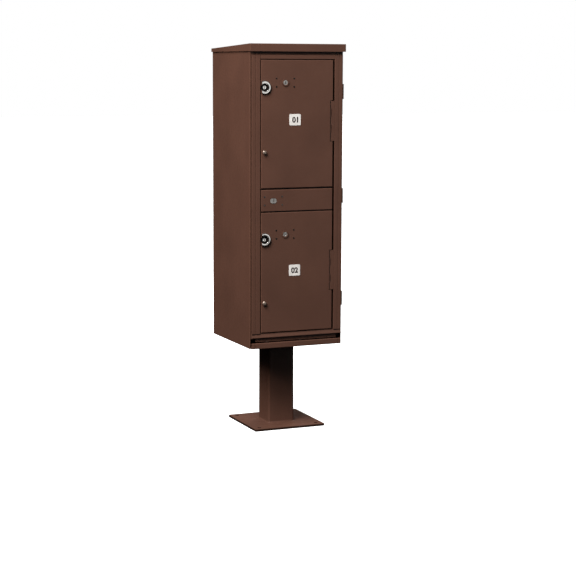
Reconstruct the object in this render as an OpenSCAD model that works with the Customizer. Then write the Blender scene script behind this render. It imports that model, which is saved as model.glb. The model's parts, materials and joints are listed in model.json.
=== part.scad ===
// Two-compartment outdoor parcel locker on a pedestal, of the cluster mailbox family.
// A cabinet of folded sheet stands on a square tube with a base plate. One large master
// door carries the frame, the lock panel and two parcel doors.
// Millimetres. X is to the right, Y is to the back and Z is up. The origin is the middle
// of the underside of the base plate. At rest every door is shut and every lock is open.

/* [Overall] */
// Height from the ground to the front edge of the roof
total_h = 1575; // [1400:1:1900]
// Height from the ground to the underside of the cabinet
pedestal_h = 356; // [280:1:430]
// Width over the side panels
cab_w = 405; // [330:1:490]
// Depth over the side panels
cab_d = 418; // [340:1:510]
// Thickness of the cabinet sheet
sheet_t = 2.5; // [2:0.1:3]

/* [Pedestal] */
// Width of the base plate
base_w = 312; // [250:1:370]
// Depth of the base plate
base_d = 312; // [250:1:380]
// Thickness of the base plate
base_t = 10; // [8:0.5:13]
// Distance between the anchor holes across the width
anchor_dx = 254; // [210:1:300]
// Distance between the anchor holes across the depth
anchor_dy = 254; // [210:1:300]
// Diameter of the anchor holes
anchor_hole_d = 16; // [12:0.5:20]
// Width of the pedestal tube
tube_w = 114; // [95:1:128]
// Depth of the pedestal tube
tube_d = 114; // [95:1:128]
// Wall of the pedestal tube
tube_wall = 5; // [3:0.5:8]
// Outer corner radius of the pedestal tube
tube_r = 7; // [5.5:0.5:12]
// Side of the square plate on top of the pedestal
flange_w = 200; // [180:1:230]
// Thickness of the plate on top of the pedestal
flange_t = 8; // [6:0.5:12]
// Distance between the cabinet bolts, both ways
cab_bolt_dx = 150; // [140:1:158]
// Thread diameter of the cabinet bolts
cab_bolt_d = 12; // [10:1:14]

/* [Roof] */
// Overhang of the roof past the front edge of the side panels
roof_front = 17.4; // [15:0.1:25]
// Overhang of the roof past each side panel
roof_side = 5; // [4:0.1:8]
// Overhang of the roof past the back
roof_back = 4.1; // [3.5:0.1:8]
// Height of the front fascia of the roof
roof_fascia_h = 30.6; // [26:0.1:40]
// Fall of the roof from front to back
roof_fall = 16.5; // [8:0.5:20]

/* [Cabinet front] */
// Width of the side panels' front flange
jamb_w = 24.5; // [22:0.5:26]
// Height of the master door's lower edge above the cabinet's underside
sill_h = 44; // [40:1:52]
// Height of the folded lip in front of the cabinet floor
lip_h = 23; // [18:1:25]
// Gap between the roof fascia and the top of the master door
header_gap = 13.4; // [8:0.1:18]

/* [Master door] */
// How far the door faces stand in front of the cabinet
face_proud = 10; // [9.5:0.1:12]
// Margin between the side panel's outer face and the master door's edge
master_margin = 4.5; // [4.4:0.1:5]
// Sheet of the master frame and the doors
door_t = 2; // [1.5:0.1:2.2]
// Width of the left stile
stile_l_w = 38; // [36:0.5:44]
// Width of the right stile
stile_r_w = 36.5; // [36:0.5:44]
// Height of the top rail
top_rail_h = 16; // [12:1:24]
// Height of the bottom rail
bottom_rail_h = 18; // [12:1:24]
// Lean of the bottom rail's front face
bottom_rail_lean = 4.5; // [2:0.5:5]
// Distance of the stile groove from the master door's edge
groove_in = 17; // [15:0.5:20]
// Width of the stile groove
groove_w = 3; // [2:0.5:4]
// Depth of the stile groove
groove_d = 1; // [0.5:0.1:1.2]
// Height of the lock panel between the doors
lock_panel_h = 85; // [80:1:105]

/* [Parcel doors] */
// Height of the lower parcel door
lower_door_h = 485; // [400:1:585]
// Gap at the free side of the doors
door_gap = 3; // [2:0.1:4]
// Gap at the hinge side of the doors
hinge_gap = 6.5; // [5:0.1:8]
// Gap over the upper door
top_gap = 4; // [3:0.1:6]
// Gap between the lock panel and each door
panel_gap = 6; // [4:0.1:8]
// Depth of the folded door edge
pan_d = 15.5; // [14:0.1:15.5]
// Distance of the hinge axis from the door's right edge
hinge_in = 8.5; // [8:0.1:9]
// Top of the hinge below the door's top edge
hinge_top = 160; // [130:1:180]
// Length of the door's hinge notch
hinge_notch_h = 165; // [130:1:180]

/* [Locks and fittings] */
// Distance of the customer lock from the door's left edge
lock_in = 12.5; // [11.5:0.1:13]
// Distance of the customer lock below the door's top edge
lock_down = 108; // [95:1:125]
// Outer diameter of the customer lock's collar
collar_d = 54; // [46:1:62]
// Inner diameter of the customer lock's collar
collar_bore = 30; // [28:1:34]
// How far the collar stands out of the door
collar_proud = 7; // [4:0.5:9]
// Diameter of the customer lock's plug
plug_d = 14; // [12:0.5:14]
// Distance of the control lock from the door's left edge
control_in = 103; // [90:1:120]
// Distance of the control lock below the door's top edge
control_down = 89; // [80:1:100]
// Distance of the arrow lock from the lock panel's left edge
arrow_in = 52; // [50:1:60]
// Spacing of the lock studs across
stud_dx = 76; // [70:1:80]
// Spacing of the lock studs up
stud_dz = 33; // [30:1:36]
// Stroke of the trap bolts
trap_stroke = 12; // [8:0.5:12]
// Stroke of the latch bar
latch_stroke = 14; // [10:0.5:14]
// Distance of the number plate's middle from the door's left edge
plate_in = 145; // [120:1:160]
// Distance of the number plate's middle below the door's top edge
plate_down = 236; // [200:1:270]
// Width of the number plate
plate_w = 49; // [40:1:60]
// Height of the number plate
plate_h = 45; // [36:1:54]
// Distance of the pull knob from the door's left edge
knob_in = 12.5; // [11.5:0.5:20]
// Distance of the pull knob below the door's top edge
knob_down = 365; // [330:1:390]
// Diameter of the pull knob
knob_d = 18; // [14:1:22]

/* [Fits] */
// Radial clearance of pins and plugs that turn
turn_fit = 0.05; // [0.02:0.01:0.1]
// Clearance each side of a bar that slides
slide_fit = 0.2; // [0.1:0.05:0.3]
// Clearance of a crank pin in its slot
slot_fit = 0.4; // [0.3:0.05:0.6]
// Gap between soft rubber and the part that meets it
soft_gap = 0.3; // [0.3:0.1:0.6]
// Clearance of bolts and rivets in plain holes
hole_fit = 0.5; // [0.2:0.1:1]

/* [Hidden] */
$fn = 48;

coat = [0.38, 0.27, 0.23];
coat_dark = [0.28, 0.19, 0.17];
chrome = [0.84, 0.82, 0.79];
zinc = [0.62, 0.62, 0.60];
blackened = [0.08, 0.08, 0.08];
rubber = [0.05, 0.05, 0.05];
white = [0.94, 0.92, 0.89];

// Cabinet planes
cab_x = cab_w / 2;
cab_front = -cab_d / 2;
cab_back = cab_d / 2;
inner_x = cab_x - sheet_t;
jamb_x = cab_x - jamb_w;
flange_back = cab_front + sheet_t;

// Roof: the skirt hangs down to one level, the top falls to the back
roof_y0 = cab_front - roof_front;
roof_y1 = cab_back + roof_back;
roof_x = cab_x + roof_side;
skirt_z = total_h - roof_fascia_h;
function roof_z(y) = total_h - roof_fall * (y - roof_y0) / (roof_y1 - roof_y0);

// Master door
face_y = cab_front - face_proud;
web_y = face_y + door_t;
master_x = cab_x - master_margin;
master_z0 = pedestal_h + sill_h;
master_z1 = skirt_z - header_gap;
stile_l_x = -master_x + stile_l_w;
stile_r_x = master_x - stile_r_w;

// Butt hinges of the master door: the two leaves lie between door and cabinet
leaf_t = 1.2;
leaf_gap = 0.5;
master_back = cab_front - 2 * leaf_t - leaf_gap;
m_knuckle_r = 3;
m_pin_r = 1.6;
m_axis_y = cab_front - m_knuckle_r - 0.2;
m_axis_x = master_x + m_knuckle_r + 0.4;
m_hinge_h = 60;
m_leaf_w = 12;
m_hinge_end = 115;
m_hinge_z = [master_z0 + m_hinge_end, (master_z0 + master_z1) / 2 - m_hinge_h / 2,
  master_z1 - m_hinge_end - m_hinge_h];
knuckle_gap = 0.3;
leaf_cut = 0.5;

// Doors and lock panel, one above the other
door_x0 = stile_l_x + door_gap;
door_x1 = stile_r_x - hinge_gap;
lower_z0 = master_z0 + bottom_rail_h + door_gap;
lower_z1 = lower_z0 + lower_door_h;
panel_z0 = lower_z1 + panel_gap;
panel_z1 = panel_z0 + lock_panel_h;
upper_z0 = panel_z1 + panel_gap;
upper_z1 = master_z1 - top_rail_h - top_gap;
pan_back = face_y + pan_d;

// Stop lips behind the door edges
stop_front = pan_back + 3;
stop_back = stop_front + door_t;
stop_cover = 9;
lip_l_x = stile_l_x + 6.5;

// Hinges of the parcel doors, let into the face
p_knuckle_r = 2.6;
p_pin_r = 1.5;
p_leaf_t = 1.5;
p_axis_x = door_x1 - hinge_in;
p_axis_y = face_y + p_knuckle_r;
p_leaf_cut = 0.8;
notch_x = p_axis_x - p_knuckle_r - 1.8;
notch_gap = 2;
p_leaf_w = 25;

// Customer lock: body in the door, plug and cam turn
lock_clip = 1;
body_fit = 0.4;
body_front = face_y + 6;
body_back = stop_front - 0.7;
body_wall = 1.5;
body_flange_r = 20;
body_flange_t = 3;
plug_front = face_y - 2;
cam_gap = 0.5;
cam_t = 3;
cam_y0 = stop_back + cam_gap;
cam_w = 12;
cam_l = 24;
plug_tip = 1;

// Control locks and the arrow lock: crank and bolt behind a case
bezel_d = 28;
bezel_bore = 19;
bezel_proud = 3;
key_front = face_y - 2;
key_w = 2.4;
key_h = 10;
key_depth = 4;
case_margin_x = 8;
case_margin_z = 6.5;
stud_r = 2;
stud_head_r = 3.5;
stud_head_h = 1.2;
crank_pin_r = 2;
crank_gap = 0.4;
crank_t = 2;
control_back = stop_back - 0.5;
crank_y0 = control_back + crank_gap;
trap_y0 = crank_y0 + crank_t + 0.5;
trap_t = 3;
trap_w = 28;
trap_tail = 14;
trap_r = trap_stroke / sqrt(2);
guide_wall = 3.5;
guide_h = 9;

// Arrow lock and latch bar
arrow_back = face_y + 15.4;
latch_y0 = stop_front + 0.7;
latch_t = 3.8;
latch_h = 18;
latch_r = latch_stroke / sqrt(2);
latch_rise = 8;
latch_tip_x = -jamb_x + 6;
latch_guide_in = 16;
arrow_x = door_x0 + arrow_in;
arrow_z = panel_z0 + 41;
arrow_face_w = 27;
arrow_face_h = 20;
strike_h = 46;
strike_t = 3;

// Compartments
shelf_front = stop_back + 10;
shelf_lip = 20;
floor_lift = 52;
ceiling_drop = 6.5;
seal_w = 5;
bumper_r = 3;
bumper_in = 30;

// A box from its limits along X, Y and Z
module span(x, y, z) {
  translate([x[0], y[0], z[0]])
    cube([x[1] - x[0], y[1] - y[0], z[1] - z[0]]);
}

// A round bar along Y
module rod_y(x, z, y, r) {
  translate([x, y[0], z])
    rotate([-90, 0, 0])
      cylinder(r = r, h = y[1] - y[0]);
}

// A round bar along Z
module rod_z(x, y, z, r) {
  translate([x, y, z[0]])
    cylinder(r = r, h = z[1] - z[0]);
}

// A rectangle with round corners, centred
module round_rect(w, h, r) {
  square([w - 2 * r, h], center = true);
  square([w, h - 2 * r], center = true);
  for (sx = [-1, 1], sy = [-1, 1])
    translate([sx * (w / 2 - r), sy * (h / 2 - r)])
      circle(r = r);
}

// A round-cornered plate that stands in the XZ plane
module wall_plate(x, z, y, w, h, r) {
  translate([x, y[1], z])
    rotate([90, 0, 0])
      linear_extrude(y[1] - y[0])
        round_rect(w, h, r);
}

// A section drawn in Y and Z, run along X
module run_x(x) {
  translate([x[0], 0, 0])
    rotate([90, 0, 90])
      linear_extrude(x[1] - x[0])
        children();
}

// ---- Pedestal ----

module base_plate() {
  color(coat)
    difference() {
      linear_extrude(base_t)
        round_rect(base_w, base_d, 6);
      for (sx = [-1, 1], sy = [-1, 1])
        rod_z(sx * anchor_dx / 2, sy * anchor_dy / 2, [-1, base_t + 1], anchor_hole_d / 2);
    }
}

module pedestal_tube() {
  color(coat)
    translate([0, 0, base_t])
      linear_extrude(pedestal_h - flange_t - base_t)
        difference() {
          round_rect(tube_w, tube_d, tube_r);
          round_rect(tube_w - 2 * tube_wall, tube_d - 2 * tube_wall, tube_r - tube_wall);
        }
}

module cab_bolt_places() {
  for (sx = [-1, 1], sy = [-1, 1])
    translate([sx * cab_bolt_dx / 2, sy * cab_bolt_dx / 2, 0])
      children();
}

module pedestal_flange() {
  color(coat)
    difference() {
      translate([0, 0, pedestal_h - flange_t])
        linear_extrude(flange_t)
          round_rect(flange_w, flange_w, 8);
      cab_bolt_places()
        rod_z(0, 0, [0, pedestal_h + 1], cab_bolt_d / 2 + hole_fit);
    }
}

module pedestal_bolts() {
  color(zinc)
    cab_bolt_places() {
      rod_z(0, 0, [pedestal_h - flange_t - 14, pedestal_h + sheet_t + 1], cab_bolt_d / 2);
      translate([0, 0, pedestal_h + sheet_t])
        cylinder(r = cab_bolt_d * 0.9, h = cab_bolt_d * 0.6, $fn = 6);
    }
}

module pedestal_nuts() {
  nut_h = cab_bolt_d * 0.8;
  color(zinc)
    cab_bolt_places()
      translate([0, 0, pedestal_h - flange_t - nut_h])
        difference() {
          cylinder(r = cab_bolt_d * 0.9, h = nut_h, $fn = 6);
          translate([0, 0, -1])
            cylinder(r = cab_bolt_d / 2 + turn_fit, h = nut_h + 2);
        }
}

// ---- Cabinet ----

module floor_pan() {
  fold = 12;
  color(coat_dark)
    difference() {
      span([-inner_x, inner_x], [flange_back, cab_back - sheet_t],
        [pedestal_h, pedestal_h + fold]);
      span([-inner_x + sheet_t, inner_x - sheet_t],
        [flange_back + sheet_t, cab_back - 2 * sheet_t],
        [pedestal_h + sheet_t, pedestal_h + fold + 1]);
      cab_bolt_places()
        rod_z(0, 0, [pedestal_h - 1, pedestal_h + sheet_t + 1], cab_bolt_d / 2 + hole_fit);
    }
}

// Folded lip in front of the floor, slit near each end
module front_sill() {
  sill_x = master_x - 1;
  slit_in = 14;
  slit_w = 2;
  lip_z = pedestal_h + lip_h;
  fold_r = sheet_t;
  hem_w = 4;
  color(coat)
    difference() {
      run_x([-sill_x, sill_x]) {
        translate([face_y + fold_r, pedestal_h])
          square([flange_back - face_y - fold_r, sheet_t]);
        translate([face_y, pedestal_h + fold_r])
          square([sheet_t, lip_h - 2 * fold_r]);
        translate([face_y + fold_r, pedestal_h + fold_r])
          circle(r = fold_r);
        translate([face_y + fold_r, lip_z - fold_r])
          circle(r = fold_r);
        translate([face_y + fold_r, lip_z - sheet_t])
          square([hem_w, sheet_t]);
      }
      for (x = [-sill_x + slit_in, sill_x - slit_in])
        span([x - slit_w / 2, x + slit_w / 2], [face_y - 1, flange_back + 1],
          [pedestal_h + sheet_t + 1, lip_z + 1]);
    }
}

// Side wall with its front flange; the flange stops short of the sill
module side_panel(side) {
  flange_z0 = master_z0 - 2;
  x = side > 0 ? [inner_x, cab_x] : [-cab_x, -inner_x];
  flange_x = side > 0 ? [jamb_x, cab_x] : [-cab_x, -jamb_x];
  color(coat)
    union() {
      run_x(x)
        polygon([
          [cab_front, pedestal_h],
          [cab_back, pedestal_h],
          [cab_back, roof_z(cab_back) - sheet_t],
          [cab_front, roof_z(cab_front) - sheet_t],
        ]);
      span(flange_x, [cab_front, flange_back], [flange_z0, skirt_z + 4]);
    }
}

module left_side_panel() {
  side_panel(-1);
}

module right_side_panel() {
  side_panel(1);
}

module back_panel() {
  color(coat)
    span([-inner_x, inner_x], [cab_back - sheet_t, cab_back],
      [pedestal_h, roof_z(cab_back) - sheet_t]);
}

module bottom_flange() {
  color(coat)
    span([-jamb_x, jamb_x], [cab_front, flange_back],
      [pedestal_h + lip_h + 4, master_z0 + bottom_rail_h - 6]);
}

module header_flange() {
  color(coat)
    span([-jamb_x, jamb_x], [cab_front, flange_back],
      [master_z1 - 9, skirt_z + 4]);
}

module ceiling_panel() {
  color(coat_dark)
    span([-inner_x, inner_x], [flange_back, cab_back - sheet_t],
      [skirt_z - ceiling_drop, skirt_z - ceiling_drop + sheet_t]);
}

module roof_cap() {
  color(coat)
    difference() {
      run_x([-roof_x, roof_x])
        polygon([
          [roof_y0, skirt_z],
          [roof_y1, skirt_z],
          [roof_y1, total_h - roof_fall],
          [roof_y0, total_h],
        ]);
      run_x([-roof_x + sheet_t, roof_x - sheet_t])
        polygon([
          [roof_y0 + sheet_t, skirt_z - 1],
          [roof_y1 - sheet_t, skirt_z - 1],
          [roof_y1 - sheet_t, roof_z(roof_y1 - sheet_t) - sheet_t],
          [roof_y0 + sheet_t, roof_z(roof_y0 + sheet_t) - sheet_t],
        ]);
      roof_screw_places()
        rod_y(0, 0, [-1, roof_back + 1], 2.5);
    }
}

module roof_screw_places() {
  for (x = [-cab_w / 3, 0, cab_w / 3])
    translate([x, cab_back, skirt_z + 6])
      children();
}

module roof_screws() {
  color(zinc)
    roof_screw_places() {
      rod_y(0, 0, [0, roof_back + 1], 2.2);
      rod_y(0, 0, [roof_back, roof_back + 2], 4.5);
    }
}

// A shelf across the cabinet with a stiffening lip at its front
module shelf(z, lip) {
  span([-inner_x, inner_x], [shelf_front, cab_back - sheet_t], [z, z + sheet_t]);
  span([-inner_x, inner_x], [shelf_front, shelf_front + sheet_t],
    lip > 0 ? [z, z + lip] : [z + lip, z + sheet_t]);
}

module lower_floor() {
  color(coat_dark)
    shelf(pedestal_h + floor_lift, -shelf_lip);
}

module lower_ceiling() {
  color(coat_dark)
    shelf(lower_z1, shelf_lip);
}

module upper_floor() {
  color(coat_dark)
    shelf(upper_z0 - sheet_t - 0.5, -shelf_lip);
}

// Rubber strip on the cabinet's front flanges
module door_seal() {
  seal_x = jamb_x + 1;
  seal_z0 = master_z0 + 4;
  seal_z1 = master_z1 - 4;
  y = [master_back + soft_gap, cab_front];
  color(rubber)
    difference() {
      span([-seal_x - seal_w, seal_x + seal_w], y, [seal_z0, seal_z1]);
      span([-seal_x, seal_x], [y[0] - 1, y[1] + 1], [seal_z0 + seal_w, seal_z1 - seal_w]);
    }
}

module strike_plate() {
  color(zinc)
    span([-inner_x, -jamb_x - 2], [flange_back, flange_back + strike_t],
      [arrow_z + latch_rise - strike_h / 2, arrow_z + latch_rise + strike_h / 2]);
}

// ---- Hinges ----

// Knuckles of one leaf of a five-knuckle hinge, bored for the pin; turn 0 is the fixed leaf
module knuckles(x, y, z0, h, r, bore, turn) {
  pitch = h / 5;
  for (i = [0 : 4])
    if (i % 2 == turn)
      difference() {
        union() {
          rod_z(x, y, [z0 + i * pitch + knuckle_gap / 2, z0 + (i + 1) * pitch - knuckle_gap / 2], r);
          translate([0, 0, z0 + i * pitch + knuckle_gap / 2])
            linear_extrude(pitch - knuckle_gap)
              children();
        }
        rod_z(x, y, [z0 - 1, z0 + h + 1], bore);
      }
}

module master_hinge_fixed_leaves() {
  y = cab_front - leaf_t;
  cut_x = m_axis_x - m_knuckle_r - leaf_cut;
  leaf_x = master_x - m_leaf_w;
  color(zinc)
    for (z = m_hinge_z) {
      span([leaf_x, cut_x], [y, cab_front], [z, z + m_hinge_h]);
      knuckles(m_axis_x, m_axis_y, z, m_hinge_h, m_knuckle_r, m_pin_r + turn_fit, 0)
        translate([cut_x - 1, y])
          square([m_axis_x - cut_x + 1, leaf_t]);
    }
}

module master_hinge_door_leaves() {
  y = master_back;
  cut_x = m_axis_x - m_knuckle_r - leaf_cut;
  leaf_x = master_x - m_leaf_w;
  color(zinc)
    for (z = m_hinge_z) {
      span([leaf_x, cut_x], [y, y + leaf_t], [z, z + m_hinge_h]);
      knuckles(m_axis_x, m_axis_y, z, m_hinge_h, m_knuckle_r, m_pin_r + turn_fit, 1)
        translate([cut_x - 1, y])
          square([m_axis_x - cut_x + 1, leaf_t]);
    }
}

module master_hinge_pins() {
  color(zinc)
    for (z = m_hinge_z)
      rod_z(m_axis_x, m_axis_y, [z, z + m_hinge_h], m_pin_r);
}

// Limits of a parcel hinge for a door whose top edge is at z1
function hinge_z(z1) = [z1 - hinge_top - hinge_notch_h + notch_gap, z1 - hinge_top - notch_gap];

module parcel_frame_leaf(z1) {
  z = hinge_z(z1);
  tab_x = p_axis_x + p_knuckle_r + 0.4;
  span([tab_x, stile_r_x], [face_y, web_y], z);
  span([tab_x, stile_r_x + 14], [web_y, web_y + p_leaf_t], [z[0] + 1, z[1] - 1]);
  knuckles(p_axis_x, p_axis_y, z[0], z[1] - z[0], p_knuckle_r, p_pin_r + turn_fit, 0)
    translate([p_axis_x, face_y])
      square([tab_x - p_axis_x + 1, door_t]);
}

module parcel_hinge_frame_leaves() {
  color(coat)
    for (z1 = [lower_z1, upper_z1])
      parcel_frame_leaf(z1);
}

module parcel_hinge_pins() {
  color(zinc)
    for (z1 = [lower_z1, upper_z1])
      rod_z(p_axis_x, p_axis_y, hinge_z(z1), p_pin_r);
}

module door_hinge_leaf(z1) {
  z = hinge_z(z1);
  cut_x = p_axis_x - p_knuckle_r - p_leaf_cut;
  color(zinc) {
    span([cut_x - p_leaf_w, cut_x], [web_y, web_y + p_leaf_t], z);
    knuckles(p_axis_x, p_axis_y, z[0], z[1] - z[0], p_knuckle_r, p_pin_r + turn_fit, 1)
      translate([cut_x - 1, web_y])
        square([p_axis_x - cut_x + 1, p_leaf_t]);
  }
}

module upper_hinge_leaf() {
  door_hinge_leaf(upper_z1);
}

module lower_hinge_leaf() {
  door_hinge_leaf(lower_z1);
}

// ---- Master door ----

// Above the top rail's lower edge the stiles are only as deep as the gap in front of the cabinet
module shallow_top() {
  difference() {
    children();
    span([-master_x, master_x], [master_back, stop_back + 1],
      [master_z1 - top_rail_h + door_t, master_z1 + 1]);
  }
}

// Folded stile section in X and Y: outer edge, back flange, face with a groove, deep inner leg
module stile_section(w) {
  back_flange_w = 14;
  difference() {
    square([w, door_t]);
    translate([groove_in - groove_w / 2, -1])
      square([groove_w, groove_d + 1]);
  }
  square([door_t, master_back - face_y]);
  translate([0, master_back - face_y - door_t])
    square([back_flange_w, door_t]);
  translate([w - door_t, 0])
    square([door_t, stop_back - face_y]);
}

module left_stile() {
  z = [master_z0 + bottom_rail_h, master_z1];
  bar_z = [arrow_z + latch_rise - latch_h / 2 - slot_fit, arrow_z + latch_rise + latch_h / 2 + slot_fit];
  color(coat)
    difference() {
      union() {
        shallow_top()
          translate([-master_x, face_y, z[0]])
            linear_extrude(z[1] - z[0])
              stile_section(stile_l_w);
        span([stile_l_x - 1, lip_l_x], [stop_front, stop_back], [z[0], z[1] - top_rail_h]);
      }
      span([stile_l_x - door_t - 1, lip_l_x + 1], [stop_front - slot_fit, stop_back + 1], bar_z);
    }
}

module right_stile() {
  z = [master_z0 + bottom_rail_h, master_z1];
  color(coat)
    difference() {
      shallow_top()
        translate([master_x, face_y, z[0]])
          linear_extrude(z[1] - z[0])
            mirror([1, 0])
              stile_section(stile_r_w);
      for (z1 = [lower_z1, upper_z1])
        span([stile_r_x - 1, stile_r_x + door_t + 1], [web_y, web_y + p_leaf_t + slide_fit],
          [hinge_z(z1)[0] + 1 - slide_fit, hinge_z(z1)[1] - 1 + slide_fit]);
    }
}

module top_rail() {
  z = [master_z1 - top_rail_h, master_z1];
  color(coat) {
    span([stile_l_x, stile_r_x], [face_y, web_y], z);
    span([stile_l_x, stile_r_x], [face_y, master_back], [z[1] - door_t, z[1]]);
    span([stile_l_x, stile_r_x], [face_y, stop_back], [z[0], z[0] + door_t]);
    span([lip_l_x, stile_r_x], [stop_front, stop_back], [upper_z1 - stop_cover, z[0] + door_t]);
  }
}

// The bottom rail runs the whole width under the stiles; its face leans back to shed water
module bottom_rail() {
  z = [master_z0, master_z0 + bottom_rail_h];
  color(coat) {
    run_x([-master_x, master_x])
      polygon([
        [face_y, z[0]],
        [master_back, z[0]],
        [master_back, z[0] + door_t],
        [face_y + door_t, z[0] + door_t],
        [face_y + bottom_rail_lean + door_t, z[1] - door_t],
        [master_back, z[1] - door_t],
        [master_back, z[1]],
        [face_y + bottom_rail_lean, z[1]],
      ]);
    span([stile_l_x, stile_r_x], [face_y + bottom_rail_lean + 1, stop_back], [z[1] - door_t, z[1]]);
    span([lip_l_x, stile_r_x], [stop_front, stop_back], [z[1] - door_t, lower_z0 + stop_cover]);
  }
}

// Two bars across, behind the gaps over and under the lock panel
module crossbars() {
  color(coat) {
    span([lip_l_x, stile_r_x], [stop_front, stop_back], [lower_z1 - stop_cover, panel_z0 + 12]);
    span([lip_l_x, stile_r_x], [stop_front, stop_back], [panel_z1 - 12, upper_z0 + stop_cover]);
  }
}

module stud_places(x, z) {
  for (sx = [-1, 1], sz = [-1, 1])
    translate([x + sx * stud_dx / 2, 0, z + sz * stud_dz / 2])
      children();
}

module lock_panel() {
  color(coat)
    difference() {
      span([door_x0, door_x1], [face_y, stop_front], [panel_z0, panel_z1]);
      span([door_x0 + door_t, door_x1 - door_t], [web_y, stop_front + 1],
        [panel_z0 + door_t, panel_z1 - door_t]);
      wall_plate(arrow_x, arrow_z, [face_y - 1, web_y + 1], arrow_face_w + 0.4, arrow_face_h + 0.4, 9);
      stud_places(arrow_x, arrow_z)
        rod_y(0, 0, [face_y - 1, web_y + 1], stud_r + 0.2);
    }
}

// Case of a stud-mounted lock, behind the sheet, with a bored boss
module lock_case(x, z, back) {
  w = stud_dx + 2 * case_margin_x;
  h = stud_dz + 2 * case_margin_z;
  wall_plate(x, z, [web_y, back], w, h, 3);
}

module arrow_lock_case() {
  guide_x = arrow_x + latch_guide_in;
  bar_z = arrow_z + latch_rise;
  color(zinc)
    difference() {
      union() {
        lock_case(arrow_x, arrow_z, arrow_back);
        wall_plate(arrow_x, arrow_z, [face_y - 1, web_y + 1], arrow_face_w, arrow_face_h, 9);
        span([guide_x, guide_x + guide_h], [arrow_back - 1, latch_y0 + latch_t + guide_wall],
          [bar_z - latch_h / 2 - guide_wall, bar_z + latch_h / 2 + guide_wall]);
      }
      rod_y(arrow_x, arrow_z, [face_y - 3, arrow_back + 1], 8 + turn_fit);
      span([guide_x - 1, guide_x + guide_h + 1], [latch_y0 - slide_fit, latch_y0 + latch_t + slide_fit],
        [bar_z - latch_h / 2 - slide_fit, bar_z + latch_h / 2 + slide_fit]);
      stud_places(arrow_x, arrow_z)
        rod_y(0, 0, [web_y - 1, arrow_back + 1], stud_r + 0.1);
    }
}

// Studs with a flat head in front and a riveted end behind the case
module studs(x, z, back) {
  stud_places(x, z) {
    rod_y(0, 0, [face_y - 0.5, back + 0.5], stud_r);
    rod_y(0, 0, [face_y - stud_head_h, face_y], stud_head_r);
    rod_y(0, 0, [back, back + stud_head_h], stud_head_r);
  }
}

module arrow_lock_studs() {
  color(blackened)
    studs(arrow_x, arrow_z, arrow_back);
}

module door_bumpers() {
  x = (stile_l_x + lip_l_x) / 2;
  color(rubber)
    for (z = [lower_z0 + bumper_in, lower_z1 - bumper_in, upper_z0 + bumper_in, upper_z1 - bumper_in])
      rod_y(x, z, [pan_back + soft_gap, stop_front], bumper_r);
}

// ---- Parcel doors ----

module door_panel(z0, z1) {
  lock_x = door_x0 + lock_in;
  lock_z = z1 - lock_down;
  notch_z = [z1 - hinge_top - hinge_notch_h, z1 - hinge_top];
  color(coat)
    difference() {
      span([door_x0, door_x1], [face_y, pan_back], [z0, z1]);
      span([door_x0 + door_t, door_x1 - door_t], [web_y, pan_back + 1], [z0 + door_t, z1 - door_t]);
      span([notch_x, door_x1 + 1], [face_y - 1, pan_back + 1], notch_z);
      rod_y(lock_x, lock_z, [face_y - 1, pan_back + 1], collar_bore / 2);
      rod_y(door_x0 + control_in, z1 - control_down, [face_y - 1, web_y + 1], bezel_d / 2 + body_fit);
      rod_y(door_x0 + knob_in, z1 - knob_down, [face_y - 1, web_y + 1], 3.2);
      stud_places(door_x0 + control_in, z1 - control_down)
        rod_y(0, 0, [face_y - 1, web_y + 1], stud_r + 0.2);
    }
}

module upper_door_panel() {
  door_panel(upper_z0, upper_z1);
}

module lower_door_panel() {
  door_panel(lower_z0, lower_z1);
}

// Hat section down the middle of the door's back
module stiffener(z0, z1) {
  x = (door_x0 + door_x1) / 2 + 40;
  z = [z0 + 20, z1 - 20];
  crown_w = 30;
  brim = 12;
  crown_d = 10;
  color(coat_dark)
    translate([x, web_y, z[0]])
      linear_extrude(z[1] - z[0]) {
        for (side = [-1, 1]) {
          translate([side * (crown_w + brim) / 2 - brim / 2, 0])
            square([brim, 1.5]);
          translate([side * crown_w / 2 - 0.75, 0])
            square([1.5, crown_d]);
        }
        translate([-crown_w / 2 - 0.75, crown_d - 1.5])
          square([crown_w + 1.5, 1.5]);
      }
}

module upper_stiffener() {
  stiffener(upper_z0, upper_z1);
}

module lower_stiffener() {
  stiffener(lower_z0, lower_z1);
}

// Cuts a lock part off flat at the door's left edge
module clip_at_edge(margin) {
  intersection() {
    children();
    span([door_x0 + margin, door_x1], [face_y - 50, face_y + 50], [0, total_h]);
  }
}

module lock_collar(z1) {
  x = door_x0 + lock_in;
  z = z1 - lock_down;
  chamfer = 1.5;
  color(chrome)
    clip_at_edge(lock_clip)
      translate([x, face_y, z])
        rotate([90, 0, 0])
          rotate_extrude()
            polygon([
              [collar_bore / 2, 0],
              [collar_d / 2, 0],
              [collar_d / 2, collar_proud - 2 * chamfer],
              [collar_d / 2 - 2 * chamfer, collar_proud],
              [collar_bore / 2 + chamfer, collar_proud],
              [collar_bore / 2, collar_proud - chamfer],
            ]);
}

module upper_lock_collar() {
  lock_collar(upper_z1);
}

module lower_lock_collar() {
  lock_collar(lower_z1);
}

// Black cup that holds the plug, with a flange behind the door sheet
module lock_body(z1) {
  x = door_x0 + lock_in;
  z = z1 - lock_down;
  r = collar_bore / 2 - body_fit;
  color(blackened)
    difference() {
      union() {
        clip_at_edge(lock_clip)
          rod_y(x, z, [face_y, body_back], r);
        clip_at_edge(door_t + body_fit)
          rod_y(x, z, [web_y, web_y + body_flange_t], body_flange_r);
      }
      rod_y(x, z, [face_y - 1, body_front], r - body_wall);
      rod_y(x, z, [face_y - 1, body_back + 1], plug_d / 2 + turn_fit);
    }
}

module upper_lock_body() {
  lock_body(upper_z1);
}

module lower_lock_body() {
  lock_body(lower_z1);
}

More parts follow.
